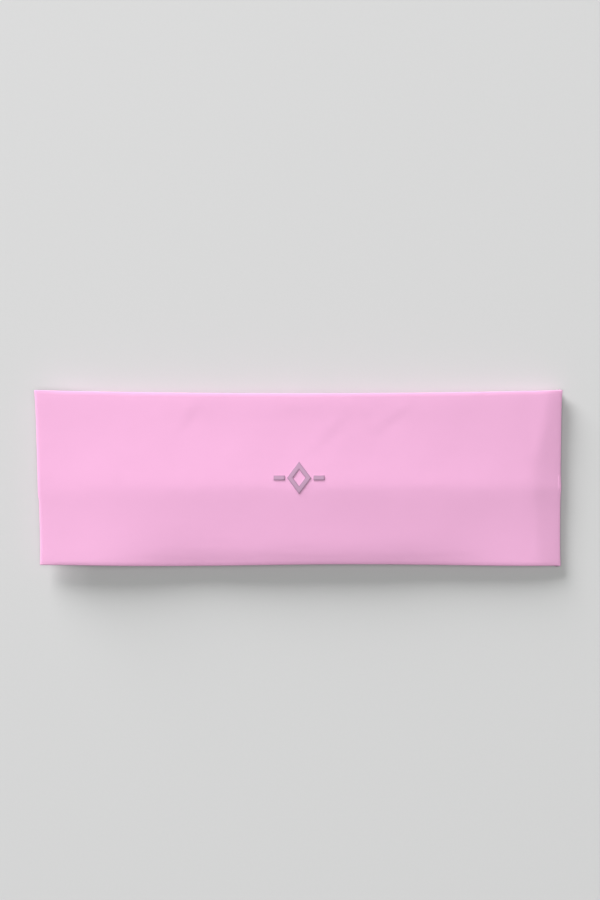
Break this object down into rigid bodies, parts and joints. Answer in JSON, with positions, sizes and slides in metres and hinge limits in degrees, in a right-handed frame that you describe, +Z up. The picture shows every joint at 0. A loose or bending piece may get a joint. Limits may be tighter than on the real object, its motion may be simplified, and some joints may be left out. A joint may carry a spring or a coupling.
{
  "type": "sports headband",
  "caption": "Wide stretch sports headband lying flat as a closed loop: folded knit tube with inner seam, back seam, blank label and raised mark.",
  "frame": {"origin": "on the table, under the middle of the band as it lies flat", "axes": "+X along the band's length laid flat, +Y from the band's bottom edge to its top edge as worn, +Z up out of the table through the front with the mark"},
  "size_m": [0.228, 0.076, 0.0139],
  "materials": {
    "pink_knit": "smooth matte nylon and elastane knit with a soft sheen",
    "pink_thread": "matching polyester overlock thread",
    "white_satin": "blank white satin ribbon",
    "grey_film": "thin raised grey mauve film, satin"
  },
  "bodies": {
    "root": {"knit_panel": "pink_knit", "lengthwise_overlock": "pink_thread", "back_seam_overlock": "pink_thread", "upper_bar_tack": "pink_thread", "lower_bar_tack": "pink_thread", "care_label": "white_satin", "mark_left_bar": "grey_film", "mark_diamond": "grey_film", "mark_right_bar": "grey_film"}
  },
  "joints": []
}
